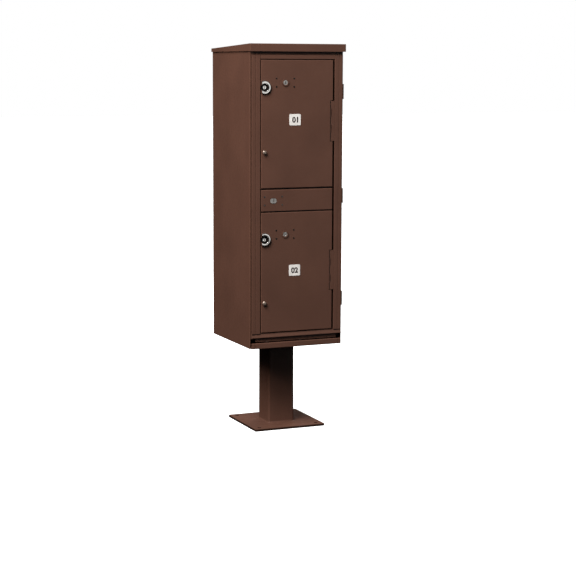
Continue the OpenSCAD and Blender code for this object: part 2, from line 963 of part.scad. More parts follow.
// Plug with its keyway in front and its cam behind; at rest the cam hangs down
module lock_plug(z1) {
  x = door_x0 + lock_in;
  z = z1 - lock_down;
  color(chrome) {
    difference() {
      rod_y(x, z, [plug_front, cam_y0 + cam_t + plug_tip], plug_d / 2);
      span([x - key_w / 2, x + key_w / 2], [plug_front - 1, plug_front + key_depth],
        [z - key_h / 2, z + key_h / 2]);
    }
    span([x - cam_w / 2, x + cam_w / 2], [cam_y0, cam_y0 + cam_t], [z - cam_l, z + cam_w / 2]);
  }
}

module upper_lock_plug() {
  lock_plug(upper_z1);
}

module lower_lock_plug() {
  lock_plug(lower_z1);
}

module control_case(z1) {
  x = door_x0 + control_in;
  z = z1 - control_down;
  top = stud_dz / 2 + case_margin_z;
  color(coat)
    difference() {
      union() {
        lock_case(x, z, control_back);
        rod_y(x, z, [face_y - bezel_proud, web_y + 1], bezel_d / 2);
        span([x - trap_w / 2 - guide_wall, x + trap_w / 2 + guide_wall],
          [control_back - 1, trap_y0 + trap_t + guide_wall], [z + top - guide_h, z + top]);
      }
      rod_y(x, z, [face_y - bezel_proud - 1, control_back + 1], bezel_bore / 2 + turn_fit);
      span([x - trap_w / 2 - slide_fit, x + trap_w / 2 + slide_fit],
        [trap_y0 - slide_fit, trap_y0 + trap_t + slide_fit], [z + top - guide_h - 1, z + top + 1]);
      stud_places(x, z)
        rod_y(0, 0, [web_y - 1, control_back + 1], stud_r + 0.1);
    }
}

module upper_control_case() {
  control_case(upper_z1);
}

module lower_control_case() {
  control_case(lower_z1);
}

module upper_control_studs() {
  color(blackened)
    studs(door_x0 + control_in, upper_z1 - control_down, control_back);
}

module lower_control_studs() {
  color(blackened)
    studs(door_x0 + control_in, lower_z1 - control_down, control_back);
}

// A plug whose crank pin stands at the given angle and radius
module cranked_plug(x, z, r, crank_y, pin_y1, pin_angle, pin_r) {
  difference() {
    rod_y(x, z, [key_front, crank_y + crank_t], r);
    span([x - key_w / 2, x + key_w / 2], [key_front - 1, key_front + key_depth],
      [z - key_h / 2, z + key_h / 2]);
  }
  rod_y(x, z, [crank_y, crank_y + crank_t], pin_r + crank_pin_r + 1);
  rod_y(x + pin_r * cos(pin_angle), z + pin_r * sin(pin_angle), [crank_y, pin_y1], crank_pin_r);
}

module control_plug(z1) {
  color(zinc)
    cranked_plug(door_x0 + control_in, z1 - control_down, bezel_bore / 2, crank_y0,
      trap_y0 + trap_t, 225, trap_r);
}

module upper_control_plug() {
  control_plug(upper_z1);
}

module lower_control_plug() {
  control_plug(lower_z1);
}

// Flat bolt that the crank pin lifts behind the stop lip over the door
module trap_bolt(z1) {
  x = door_x0 + control_in;
  z = z1 - control_down;
  slot_r = crank_pin_r + slot_fit;
  slot_z = z - trap_stroke / 2;
  color(zinc)
    difference() {
      span([x - trap_w / 2, x + trap_w / 2], [trap_y0, trap_y0 + trap_t],
        [z - trap_tail, z1 - trap_stroke]);
      span([x - trap_r - slot_r, x - trap_stroke / 2 + slot_r], [trap_y0 - 1, trap_y0 + trap_t + 1],
        [slot_z - slot_r, slot_z + slot_r]);
    }
}

module upper_trap_bolt() {
  trap_bolt(upper_z1);
}

module lower_trap_bolt() {
  trap_bolt(lower_z1);
}

module arrow_plug() {
  color(zinc)
    cranked_plug(arrow_x, arrow_z, 8, arrow_back + crank_gap / 2, latch_y0 + latch_t, 45, latch_r);
}

// Bar that the arrow lock throws behind the cabinet's left flange
module latch_bar() {
  slot_r = crank_pin_r + slot_fit;
  slot_x = arrow_x + latch_stroke / 2;
  bar_z = arrow_z + latch_rise;
  color(zinc)
    difference() {
      span([latch_tip_x, arrow_x + latch_guide_in + guide_h + latch_stroke], [latch_y0, latch_y0 + latch_t],
        [bar_z - latch_h / 2, bar_z + latch_h / 2]);
      span([slot_x - slot_r, slot_x + slot_r], [latch_y0 - 1, latch_y0 + latch_t + 1],
        [arrow_z + latch_stroke / 2 - slot_r, arrow_z + latch_r + slot_r]);
    }
}

module number_plate(z1) {
  color(white)
    wall_plate(door_x0 + plate_in, z1 - plate_down, [face_y - 1.2, face_y], plate_w, plate_h, 4);
}

module upper_number_plate() {
  number_plate(upper_z1);
}

module lower_number_plate() {
  number_plate(lower_z1);
}

// Domed knob with a shank through the door and a riveted end
module pull_knob(z1) {
  r = knob_d / 2;
  color(zinc)
    translate([door_x0 + knob_in, face_y, z1 - knob_down])
      rotate([90, 0, 0])
        rotate_extrude()
          polygon(concat(
            [[0, -door_t - 2], [5, -door_t - 2], [5, -door_t], [3, -door_t]],
            [[3, 0], [5.5, 0], [5.5, 4], [r, 5]],
            [for (a = [0 : 15 : 90]) [r * cos(a), 6 + 4 * sin(a)]]
          ));
}

module upper_pull_knob() {
  pull_knob(upper_z1);
}

module lower_pull_knob() {
  pull_knob(lower_z1);
}

base_plate();
pedestal_tube();
pedestal_flange();
pedestal_bolts();
pedestal_nuts();
floor_pan();
front_sill();
left_side_panel();
right_side_panel();
back_panel();
bottom_flange();
header_flange();
ceiling_panel();
roof_cap();
roof_screws();
lower_floor();
lower_ceiling();
upper_floor();
door_seal();
strike_plate();
master_hinge_fixed_leaves();
master_hinge_pins();
left_stile();
right_stile();
top_rail();
bottom_rail();
crossbars();
lock_panel();
master_hinge_door_leaves();
parcel_hinge_frame_leaves();
parcel_hinge_pins();
arrow_lock_case();
arrow_lock_studs();
door_bumpers();
upper_door_panel();
lower_door_panel();
upper_stiffener();
lower_stiffener();
upper_hinge_leaf();
lower_hinge_leaf();
upper_lock_collar();
lower_lock_collar();
upper_lock_body();
lower_lock_body();
upper_control_case();
lower_control_case();
upper_control_studs();
lower_control_studs();
upper_number_plate();
lower_number_plate();
upper_pull_knob();
lower_pull_knob();
upper_lock_plug();
lower_lock_plug();
upper_control_plug();
lower_control_plug();
upper_trap_bolt();
lower_trap_bolt();
arrow_plug();
latch_bar();
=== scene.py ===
import json
import math

import bmesh
import bpy
from mathutils import Matrix, Vector


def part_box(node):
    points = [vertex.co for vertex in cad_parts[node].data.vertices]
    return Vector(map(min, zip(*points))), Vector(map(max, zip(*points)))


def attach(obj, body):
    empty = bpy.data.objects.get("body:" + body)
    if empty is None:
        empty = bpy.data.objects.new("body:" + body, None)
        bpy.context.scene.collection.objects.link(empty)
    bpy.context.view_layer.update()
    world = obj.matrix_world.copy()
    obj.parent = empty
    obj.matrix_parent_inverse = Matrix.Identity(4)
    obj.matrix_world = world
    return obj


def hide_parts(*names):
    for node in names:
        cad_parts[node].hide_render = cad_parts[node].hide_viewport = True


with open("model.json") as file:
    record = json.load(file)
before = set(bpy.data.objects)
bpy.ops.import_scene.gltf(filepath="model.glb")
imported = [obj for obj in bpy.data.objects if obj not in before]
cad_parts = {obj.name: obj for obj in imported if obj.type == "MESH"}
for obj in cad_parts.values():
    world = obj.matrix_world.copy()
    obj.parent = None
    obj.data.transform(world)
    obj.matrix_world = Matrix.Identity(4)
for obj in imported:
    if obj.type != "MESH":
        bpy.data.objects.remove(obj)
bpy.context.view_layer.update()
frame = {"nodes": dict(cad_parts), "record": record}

bl_info = {
    "name": "Pedestal Parcel Locker",
    "version": (1, 0, 0),
    "blender": (4, 5, 0),
    "location": "3D View > Sidebar > Locker",
    "description": "Builds the sheet, locks, hinges and finishes of a two-door parcel locker on a pedestal",
    "category": "Object",
}

SLOT_OF = {s["node"]: s["material_slot"] for s in frame["record"]["subparts"]}
BODY_OF = {n: b for b, nodes in frame["record"]["behaviour"]["bodies"].items() for n in nodes}
SHARP = math.radians(25)     # edges that turn by more than this are broken
FLAT = math.radians(0.6)     # faces that turn by less than this are one
ON_PLANE = 6e-5              # how near a plane a point still lies on it
DOUBLES = 2e-6               # points nearer than this are one
EM_OF_DIGIT = 1.42           # a font's size over the height of its digits
SUNK = 5e-5                  # how far the digits' middle lies behind the plate's face
EDGE_WEAR_AND_HIGHLIGHT, INSIDE_EDGE_WEAR_AND_HIGHLIGHT = 1.35, 1.2    # how much lighter the coat's edges are: partly wear, partly painted highlight
PAINTED_SHADE_TONE = 0.28                  # brightness of the painted shade coat, a darker copy of the coat, as a part of the full coat's


# ---- Working in edit mode ----

def rest():
    """Back in object mode with nothing selected."""
    if bpy.context.object and bpy.context.object.mode != "OBJECT":
        bpy.ops.object.mode_set(mode="OBJECT")
    bpy.ops.object.select_all(action="DESELECT")


def take(obj):
    """Only this object is selected and active."""
    rest()
    bpy.context.view_layer.objects.active = obj
    obj.select_set(True)
    return obj


def edit_all(obj):
    take(obj)
    bpy.ops.object.mode_set(mode="EDIT")
    bpy.ops.mesh.select_mode(type="VERT")
    bpy.ops.mesh.select_all(action="SELECT")


def settle(obj):
    """The place goes into the mesh, so that the object sits at the origin."""
    take(obj)
    bpy.ops.object.transform_apply(location=True, rotation=True, scale=True)
    return obj


def apply(obj, kind, **settings):
    """Adds one modifier and applies it."""
    take(obj)
    mod = obj.modifiers.new(kind.title(), kind)
    for key, value in settings.items():
        setattr(mod, key, value)
    bpy.ops.object.modifier_apply(modifier=mod.name)
    return obj


def smooth(obj, degrees=34):
    take(obj)
    bpy.ops.object.shade_smooth_by_angle(angle=math.radians(degrees))
    return obj


def clean(obj):
    """Doubles merged, then all faces turned outwards."""
    edit_all(obj)
    bpy.ops.mesh.remove_doubles(threshold=DOUBLES)
    bpy.ops.mesh.normals_make_consistent(inside=False)
    rest()
    return obj


def joined(name, objs):
    """Several meshes as one object."""
    rest()
    for o in objs:
        o.select_set(True)
    bpy.context.view_layer.objects.active = objs[0]
    if len(objs) > 1:
        bpy.ops.object.join()
    obj = bpy.context.object
    obj.name = obj.data.name = name
    return obj


def copy_at(obj, move):
    """A copy with its own mesh, moved by a vector."""
    take(obj)
    bpy.ops.object.duplicate(linked=False)
    twin = bpy.context.object
    edit_all(twin)
    bpy.ops.transform.translate(value=move)
    rest()
    return twin


def lies(vert, planes):
    """Whether a vertex lies on every plane named, as {"x": 0.1, "z_over": 1.2}."""
    for key, value in planes.items():
        at = vert.co["xyz".index(key[0])]
        if key.endswith("_over"):
            if at < value:
                return False
        elif abs(at - value) > ON_PLANE:
            return False
    return True


def bend(obj, edge, folds=(), fold_r=0.0, segments=3):
    """Rounds the folds to fold_r and breaks every other sharp edge by edge."""
    widest = max(edge, fold_r)
    bm = bmesh.new()
    bm.from_mesh(obj.data)
    weight = bm.edges.layers.float.new("bevel_weight_edge")
    for e in bm.edges:
        if len(e.link_faces) == 2 and e.calc_face_angle(0) > SHARP:
            folded = any(lies(e.verts[0], p) and lies(e.verts[1], p) for p in folds)
            e[weight] = 1.0 if folded else edge / widest
    bm.to_mesh(obj.data)
    bm.free()
    # The bevel faces take material 1, the lighter edge coat: partly wear, partly a painted highlight.
    apply(obj, "BEVEL", limit_method="WEIGHT", width=widest, segments=segments,
          use_clamp_overlap=False, material=1, miter_outer="MITER_SHARP")
    smooth(obj)
    apply(obj, "WEIGHTED_NORMAL", keep_sharp=True, weight=90)
    return obj


def merged(node, name):
    """A merged copy of a carried-over piece, with flat faces made whole."""
    obj = bpy.data.objects.new(name, frame["nodes"][node].data.copy())
    bpy.context.scene.collection.objects.link(obj)
    obj.data.name = name
    edit_all(obj)
    bpy.ops.mesh.remove_doubles(threshold=DOUBLES)
    bpy.ops.mesh.dissolve_limited(angle_limit=FLAT)
    rest()
    return obj


def front_rim(lo, hi):
    """The four folds round the front of a pan."""
    return [{"y": lo.y, "x": lo.x}, {"y": lo.y, "x": hi.x}, {"y": lo.y, "z": lo.z}, {"y": lo.y, "z": hi.z}]


def turned(name, x, z, rings, sides=64):
    """A shape turned about Y, drawn as rings of (radius, y); a radius of 0 closes it in a point."""
    rest()
    radius, y = rings[0]
    bpy.ops.mesh.primitive_circle_add(vertices=sides, radius=max(radius, 1e-5),
                                      fill_type="NGON" if radius else "NOTHING",
                                      location=(x, y, z), rotation=(math.pi / 2, 0, 0))
    obj = settle(bpy.context.object)
    edit_all(obj)
    radius = max(radius, 1e-5)
    for next_radius, next_y in rings[1:]:
        bpy.ops.mesh.extrude_region_move(TRANSFORM_OT_translate={"value": (0, next_y - y, 0)})
        if next_radius:
            grow = next_radius / radius
            bpy.ops.transform.resize(value=(grow, 1, grow), center_override=(x, next_y, z))
        else:
            bpy.ops.mesh.merge(type="CENTER")
        radius, y = next_radius, next_y
    rest()
    obj.name = obj.data.name = name
    return obj


def hollow_turned(name, x, z, rings, sides=96):
    """As turned, for a ring whose section is closed on itself."""
    rest()
    radius, y = rings[0]
    bpy.ops.mesh.primitive_circle_add(vertices=sides, radius=radius, fill_type="NOTHING",
                                      location=(x, y, z), rotation=(math.pi / 2, 0, 0))
    obj = settle(bpy.context.object)
    edit_all(obj)
    for next_radius, next_y in list(rings[1:]) + [rings[0]]:
        grow = next_radius / radius
        bpy.ops.mesh.extrude_edges_move(TRANSFORM_OT_translate={"value": (0, next_y - y, 0)})
        bpy.ops.transform.resize(value=(grow, 1, grow), center_override=(x, next_y, z))
        radius, y = next_radius, next_y
    rest()
    obj.name = obj.data.name = name
    return clean(obj)


def arc_rings(centre_r, centre_y, r, start, end, steps):
    """Rings along an arc of the section; 0 degrees points away from the axis and 90 to the front."""
    turns = [math.radians(start + (end - start) * i / steps) for i in range(steps + 1)]
    return [(centre_r + r * math.cos(a), centre_y - r * math.sin(a)) for a in turns]


def slice_off(obj, point, normal):
    """Everything on the normal's side of the plane goes, and the cut is filled."""
    edit_all(obj)
    bpy.ops.mesh.bisect(plane_co=point, plane_no=normal, use_fill=True, clear_outer=True)
    rest()
    return obj


def hand_over(obj, nodes, body=None):
    """Gives a piece its body and the materials of its slot, and hides the carried-over pieces that it stands
    for.
    """
    node = nodes[0]
    slot = SLOT_OF[node]
    obj.data.materials.clear()
    for material in finishes_of(slot):
        obj.data.materials.append(material)
    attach(obj, body or BODY_OF[node])
    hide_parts(*nodes)
    return obj


def broken(node, name, edge, segments=2):
    """A copy with all its edges broken, standing for a carried-over piece."""
    return hand_over(bend(merged(node, name), edge, segments=segments), [node])


def recoat(obj, slot):
    """A plated piece that was coated together with the sheet that carries it."""
    for i, material in enumerate(finishes_of(slot)):
        obj.data.materials[i] = material


def paint_shade(obj, faces):
    """Faces given as a test of a face take the painted shade coat, a darker copy of the coat that paints
    shadow on them.
    """
    obj.data.materials.append(bpy.data.materials["painted_shade_coat"])
    for face in obj.data.polygons:
        if faces(face):
            face.material_index = len(obj.data.materials) - 1


# ---- Finishes ----

def node_tree(name):
    mat = bpy.data.materials.get(name) or bpy.data.materials.new(name)
    mat.use_nodes = True
    tree = mat.node_tree
    tree.nodes.clear()
    out = tree.nodes.new("ShaderNodeOutputMaterial")
    shader = tree.nodes.new("ShaderNodeBsdfPrincipled")
    tree.links.new(shader.outputs["BSDF"], out.inputs["Surface"])
    coords = tree.nodes.new("ShaderNodeTexCoord")
    return mat, tree, shader, coords.outputs["Object"]


def noise(tree, place, scale, detail=2.0, stretch=None):
    """A noise pattern with features of about 1/scale metres."""
    if stretch:
        mapping = tree.nodes.new("ShaderNodeMapping")
        mapping.inputs["Scale"].default_value = stretch
        tree.links.new(place, mapping.inputs["Vector"])
        place = mapping.outputs["Vector"]
    node = tree.nodes.new("ShaderNodeTexNoise")
    node.inputs["Scale"].default_value = scale
    node.inputs["Detail"].default_value = detail
    tree.links.new(place, node.inputs["Vector"])
    return node.outputs["Fac"]


def ramp(tree, value, lo, hi, colour_lo, colour_hi):
    node = tree.nodes.new("ShaderNodeValToRGB")
    node.color_ramp.elements[0].position = lo
    node.color_ramp.elements[1].position = hi
    node.color_ramp.elements[0].color = (*colour_lo, 1)
    node.color_ramp.elements[1].color = (*colour_hi, 1)
    tree.links.new(value, node.inputs["Fac"])
    return node.outputs["Color"]


def spread(tree, value, lo, hi):
    """The noise's middle range stretched to lo..hi."""
    node = tree.nodes.new("ShaderNodeMapRange")
    node.inputs["From Min"].default_value = 0.3
    node.inputs["From Max"].default_value = 0.7
    node.inputs["To Min"].default_value = lo
    node.inputs["To Max"].default_value = hi
    tree.links.new(value, node.inputs["Value"])
    return node.outputs["Result"]


def blend_colours(tree, kind, factor, a, b):
    node = tree.nodes.new("ShaderNodeMix")
    node.data_type = "RGBA"
    node.blend_type = kind
    if isinstance(factor, float):
        node.inputs["Factor"].default_value = factor
    else:
        tree.links.new(factor, node.inputs["Factor"])
    tree.links.new(a, node.inputs["A"])
    tree.links.new(b, node.inputs["B"])
    return node.outputs["Result"]


def bump(tree, shader, heights):
    """Bumps laid one over the other: (height, strength, depth in metres)."""
    last = None
    for height, strength, depth in heights:
        node = tree.nodes.new("ShaderNodeBump")
        node.inputs["Strength"].default_value = strength
        node.inputs["Distance"].default_value = depth
        tree.links.new(height, node.inputs["Height"])
        if last:
            tree.links.new(last, node.inputs["Normal"])
        last = node.outputs["Normal"]
    tree.links.new(last, shader.inputs["Normal"])


def shade_of(colour, factor):
    return tuple(c * factor for c in colour)


def powder_coat(name, colour, settings, wear_and_highlight=1.0):
    """Baked powder coat: orange peel, fine speckle, faint cloudiness and thin dust streaks."""
    mat, tree, shader, place = node_tree(name)
    # A factor over 1 lightens the coat for the edges, partly wear and partly a painted highlight, and also
    # makes it smoother.
    cloud = ramp(tree, noise(tree, place, 5, 3), 0.35, 0.65,
                 shade_of(colour, 0.93 * wear_and_highlight), shade_of(colour, 1.07 * wear_and_highlight))
    speck = ramp(tree, noise(tree, place, settings.speckle, 1), 0.36, 0.66,
                 (0.80, 0.80, 0.81), (1.16, 1.15, 1.14))
    fine = blend_colours(tree, "MULTIPLY", 0.8, cloud, speck)
    streak = ramp(tree, noise(tree, place, 16, 4, (1, 1, 0.12)), 0.44, 0.78,
                  (1, 1, 1), (1.10, 1.09, 1.07))
    colours = blend_colours(tree, "MULTIPLY", 0.6, fine, streak)
    tree.links.new(colours, shader.inputs["Base Color"])
    rough = noise(tree, place, 60, 3)
    tree.links.new(spread(tree, rough, settings.roughness - 0.06 * wear_and_highlight, settings.roughness + 0.06),
                   shader.inputs["Roughness"])
    shader.inputs["Specular IOR Level"].default_value = 0.34
    bump(tree, shader, [(noise(tree, place, settings.peel, 2), 0.35, 0.00022),
                        (noise(tree, place, 38, 2), 0.10, 0.0008)])
    return mat


def metal(name, colour, roughness, scratch, grain):
    """Bare or plated metal with fine scratches along grain and faint clouding."""
    mat, tree, shader, place = node_tree(name)
    lines = noise(tree, place, 240, 3, grain)
    cloud = ramp(tree, noise(tree, place, 30, 3), 0.35, 0.7,
                 shade_of(colour, 0.88), shade_of(colour, 1.05))
    tree.links.new(cloud, shader.inputs["Base Color"])
    shader.inputs["Metallic"].default_value = 1.0
    tree.links.new(spread(tree, lines, roughness * 0.7, roughness * 1.4), shader.inputs["Roughness"])
    bump(tree, shader, [(lines, scratch, 0.00012)])
    return mat


def dull(name, colour, roughness, size, depth, metallic=0.0):
    """Rubber, plastic or blackened steel with a fine cast grain."""
    mat, tree, shader, place = node_tree(name)
    grain = noise(tree, place, size, 3)
    cloud = ramp(tree, noise(tree, place, 45, 3), 0.3, 0.7,
                 shade_of(colour, 0.86), shade_of(colour, 1.12))
    tree.links.new(cloud, shader.inputs["Base Color"])
    shader.inputs["Metallic"].default_value = metallic
    tree.links.new(spread(tree, grain, roughness - 0.08, roughness + 0.08), shader.inputs["Roughness"])
    bump(tree, shader, [(grain, 0.3, depth)])
    return mat


def finishes_of(slot):
    """The materials of a record slot: the face, and where there is one, the lighter edge, partly wear and
    partly a painted highlight.
    """
    first = bpy.data.materials[slot]
    edge = bpy.data.materials.get(slot + "_edge")
    return [first, edge] if edge else [first, first]


# ---- Sizes and colours that a user would change ----

def colour_prop(name, text, value):
    return bpy.props.FloatVectorProperty(name=name, description=text, subtype="COLOR", size=3,
                                         min=0, max=1, default=value)


def length_prop(name, text, value):
    return bpy.props.FloatProperty(name=name, description=text, default=value, min=0,
                                   unit="LENGTH", precision=4)


class LockerFinish(bpy.types.PropertyGroup):
    coat: colour_prop("Coat", "Colour of the powder coat outside", (0.088, 0.040, 0.0265))
    inner_coat: colour_prop("Inner coat", "Colour of the powder coat inside", (0.070, 0.031, 0.020))
    chrome: colour_prop("Chrome", "Colour of the lock collars", (0.86, 0.84, 0.80))
    zinc: colour_prop("Zinc", "Colour of the plated steel", (0.76, 0.73, 0.69))
    knob: colour_prop("Knob", "Colour of the satin knobs", (0.78, 0.62, 0.51))
    black: colour_prop("Blackened steel", "Colour of studs and lock bodies", (0.018, 0.015, 0.014))
    rubber: colour_prop("Rubber", "Colour of the seal and bumpers", (0.016, 0.016, 0.016))
    plate: colour_prop("Number plate", "Colour of the engraved plates", (0.74, 0.70, 0.66))
    roughness: bpy.props.FloatProperty(name="Coat roughness", description="Roughness of the powder coat",
                                       default=0.48, min=0.1, max=1, subtype="FACTOR")
    peel: bpy.props.FloatProperty(name="Orange peel", description="Bumps of the coat to a metre",
                                  default=620, min=50)
    speckle: bpy.props.FloatProperty(name="Speckle", description="Specks of the coat to a metre",
                                     default=420, min=50)


class LockerSheet(bpy.types.PropertyGroup):
    fold: length_prop("Fold", "Outside radius of the door and frame folds", 0.0026)
    side_fold: length_prop("Side fold", "Outside radius of the cabinet's front corners", 0.0028)
    roof_fold: length_prop("Roof fold", "Outside radius of the roof's folds", 0.0024)
    edge: length_prop("Edge", "How far cut edges are broken", 0.00035)
    plate_edge: length_prop("Plate edge", "How far the base plate's edges are broken", 0.0009)
    weld: length_prop("Weld", "Leg of the weld round the pedestal tube", 0.005)
    tube_corner: length_prop("Tube corner", "Radius of the pedestal tube's corners", 0.007)
    hinge_edge: length_prop("Hinge edge", "How far the edges of hinge leaves are broken", 0.00025)


class LockerLocks(bpy.types.PropertyGroup):
    sides: bpy.props.IntProperty(name="Sides", description="Facets of a turned ring", default=96, min=24)
    lip: length_prop("Collar lip", "Rounding of the collar's rim", 0.0016)
    bore: length_prop("Collar bore", "Radius of the collar's bore", 0.015)
    cup_edge: length_prop("Cup edge", "How far the cup's edges are broken", 0.0003)
    milled_edge: length_prop("Milled edge", "How far the edges of plugs, cases and bolts are broken", 0.0004)
    stud_head: length_prop("Stud head", "Radius of a stud's head", 0.0035)
    stud_head_depth: length_prop("Stud head depth", "Depth of a stud's head", 0.0012)
    stud_shank: length_prop("Stud shank", "Radius of a stud's shank", 0.0018)
    stud_dome: length_prop("Stud dome", "How far a stud's head is domed", 0.0005)


class LockerKnobs(bpy.types.PropertyGroup):
    waist: length_prop("Waist", "Radius of the collar between knob and door", 0.0055)
    shank: length_prop("Shank", "Radius of the shank through the door", 0.003)
    rivet: length_prop("Rivet", "Radius of the riveted end", 0.005)
    rivet_depth: length_prop("Rivet depth", "Depth of the riveted end", 0.002)
    stand: length_prop("Stand", "Distance from the door to the knob's widest part", 0.006)


class LockerPlates(bpy.types.PropertyGroup):
    upper: bpy.props.IntProperty(name="Upper number", description="Number on the upper door", default=1)
    lower: bpy.props.IntProperty(name="Lower number", description="Number on the lower door", default=2)
    height: length_prop("Digit height", "Height of a digit", 0.021)
    depth: length_prop("Digit depth", "Thickness of the inlaid digits", 0.0003)
    bold: length_prop("Bold", "How far a digit's strokes are widened", 0.0012)
    rim: length_prop("Rim", "How far the plate's edges are broken", 0.0004)
    ink: colour_prop("Ink", "Colour of the digits", (0.035, 0.025, 0.022))


class LockerStage(bpy.types.PropertyGroup):
    camera: bpy.props.FloatVectorProperty(name="Camera", description="Place of the camera",
                                          default=(-2.5445, -6.1018, 1.4822), subtype="TRANSLATION")
    yaw: bpy.props.FloatProperty(name="Yaw", description="How far the camera looks to the right",
                                 default=math.radians(23.06), subtype="ANGLE")
    pitch: bpy.props.FloatProperty(name="Pitch", description="How far the camera looks down",
                                   default=math.radians(7.87), subtype="ANGLE")
    roll: bpy.props.FloatProperty(name="Roll", description="Tilt of the camera",
                                  default=math.radians(0.18), subtype="ANGLE")
    lens: bpy.props.FloatProperty(name="Lens", description="Focal length on a 36 mm sensor, in millimetres",
                                  default=99.8, min=10)
    floor: colour_prop("Floor", "Colour of the floor", (0.90, 0.90, 0.90))
    glow: bpy.props.FloatProperty(name="Glow", description="Light that the floor gives of itself",
                                  default=0.86, min=0)
    key: bpy.props.FloatProperty(name="Key", description="Strength of the light from the front",
                                 default=2.75, min=0)
    key_azimuth: bpy.props.FloatProperty(name="Key azimuth", description="Where the light comes from",
                                         default=math.radians(-50), subtype="ANGLE")
    key_rise: bpy.props.FloatProperty(name="Key rise", description="How high the light stands",
                                      default=math.radians(56), subtype="ANGLE")
    key_spread: bpy.props.FloatProperty(name="Key spread", description="How wide the light looks",
                                        default=math.radians(22), subtype="ANGLE")
    side: bpy.props.FloatProperty(name="Side", default=230, min=0,
                                  description="Power of the soft light over the left corner, in watts")
    back: bpy.props.FloatProperty(name="Back", default=150, min=0,
                                  description="Power of the soft light over the right back corner, in watts")
    card: bpy.props.FloatProperty(name="Card", default=12, min=0,
                                  description="Power of the card that the metal reflects, in watts")
    fill: bpy.props.FloatProperty(name="Fill", description="Strength of the light from all round",
                                  default=0.12, min=0)


# ---- Operators ----

class Build(bpy.types.Operator):
    bl_options = {"REGISTER", "UNDO"}

    def execute(self, context):
        self.build(context.scene)
        rest()
        return {"FINISHED"}


class LOCKER_OT_finishes(Build):
    """Coats, platings, rubber and plastic on every carried-over piece"""
    bl_idname = "locker.finishes"
    bl_label = "Finishes"

    def build(self, scene):
        f = scene.locker_finish
        powder_coat("brown_coat", f.coat, f)
        # Lighter edge coats for the bevels: partly wear, partly painted highlight.
        powder_coat("brown_coat_edge", f.coat, f, EDGE_WEAR_AND_HIGHLIGHT)
        powder_coat("inside_coat", f.inner_coat, f)
        powder_coat("inside_coat_edge", f.inner_coat, f, INSIDE_EDGE_WEAR_AND_HIGHLIGHT)
        # A darker copy of the coat, used as painted shade in door gaps and round the base plate.
        powder_coat("painted_shade_coat", shade_of(f.coat, PAINTED_SHADE_TONE), f)
        metal("zinc_steel", f.zinc, 0.36, 0.25, (1, 1, 0.1))
        metal("chrome", f.chrome, 0.13, 0.10, (0.3, 1, 1))
        metal("knob_metal", f.knob, 0.5, 0.2, (1, 0.2, 1))
        dull("black_fittings", f.black, 0.42, 700, 0.0001, 0.6)
        dull("rubber", f.rubber, 0.78, 900, 0.0002)
        dull("number_plate", f.plate, 0.36, 500, 0.00003)
        for name, obj in frame["nodes"].items():
            obj.data.materials.clear()
            obj.data.materials.append(bpy.data.materials[SLOT_OF[name]])


class LOCKER_OT_cabinet(Build):
    """The cabinet's folded sheets, with rounded folds and broken edges"""
    bl_idname = "locker.cabinet"
    bl_label = "Cabinet"

    def build(self, scene):
        s = scene.locker_sheet
        for side in ("left", "right"):
            node = side + "_side_panel"
            lo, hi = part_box(node)
            outer = lo.x if side == "left" else hi.x
            obj = bend(merged(node, side + "_side_sheet"), s.edge,
                       [{"x": outer, "y": lo.y}], s.side_fold, 4)
            hand_over(obj, [node])
        for node in ("back_panel", "bottom_flange", "header_flange", "ceiling_panel", "floor_pan",
                     "lower_floor", "lower_ceiling", "upper_floor", "crossbars", "strike_plate"):
            obj = broken(node, node + "_sheet", s.edge)
            if node == "crossbars":
                # Their front faces, seen through the door gaps, take the painted shade coat: a painted
                # shadow in the gaps.
                paint_shade(obj, lambda face: face.normal.y < -0.5)
        broken("front_sill", "front_sill_lip", s.edge)


class LOCKER_OT_roof(Build):
    """The sloped roof cap with its folded skirts"""
    bl_idname = "locker.roof"
    bl_label = "Roof"

    def build(self, scene):
        s = scene.locker_sheet
        lo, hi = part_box("roof_cap")
        top = (lo.z + hi.z) / 2
        folds = [{"y": y, "z_over": top} for y in (lo.y, hi.y)]
        folds += [{"x": x, "z_over": top} for x in (lo.x, hi.x)]
        folds += [{"x": x, "y": y} for x in (lo.x, hi.x) for y in (lo.y, hi.y)]
        hand_over(bend(merged("roof_cap", "roof_sheet"), s.edge, folds, s.roof_fold, 4), ["roof_cap"])
        broken("roof_screws", "roof_screw_heads", s.edge)


class LOCKER_OT_master_door(Build):
    """Stiles, rails and lock panel of the master door"""
    bl_idname = "locker.master_door"
    bl_label = "Master door"

    def build(self, scene):
        s = scene.locker_sheet
        rail_lo, rail_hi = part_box("top_rail")
        for node, outer, inner in (("left_stile", 0, rail_lo.x), ("right_stile", 1, rail_hi.x)):
            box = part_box(node)
            front = box[0].y
            obj = bend(merged(node, node + "_sheet"), s.edge,
                       [{"x": box[outer].x, "y": front}, {"x": inner, "y": front}], s.fold)
            hand_over(obj, [node])
            # The stiles' faces towards the left, beside the gaps, take the painted shade coat: a painted
            # shadow in the gaps.
            left_of = box[0].x if node == "left_stile" else inner
            paint_shade(obj, lambda face: face.normal.x < -0.8 and abs(face.center.x - left_of) < s.edge)
        hand_over(bend(merged("top_rail", "top_rail_sheet"), s.edge,
                       [{"y": rail_lo.y, "z": rail_hi.z}], s.fold), ["top_rail"])
        lo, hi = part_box("bottom_rail")
        hand_over(bend(merged("bottom_rail", "bottom_rail_sheet"), s.edge,
                       [{"y": lo.y, "z": lo.z}], s.fold), ["bottom_rail"])
        hand_over(bend(merged("lock_panel", "lock_panel_sheet"), s.edge,
                       front_rim(*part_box("lock_panel")), s.fold), ["lock_panel"])


class LOCKER_OT_doors(Build):
    """The two parcel doors, folded back all round, and their stiffeners"""
    bl_idname = "locker.doors"
    bl_label = "Parcel doors"

    def build(self, scene):
        s = scene.locker_sheet
        for level in ("upper", "lower"):
            node = level + "_door_panel"
            hand_over(bend(merged(node, level + "_door_sheet"), s.edge, front_rim(*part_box(node)), s.fold),
                      [node])
            broken(level + "_stiffener", level + "_stiffener_hat", s.edge)


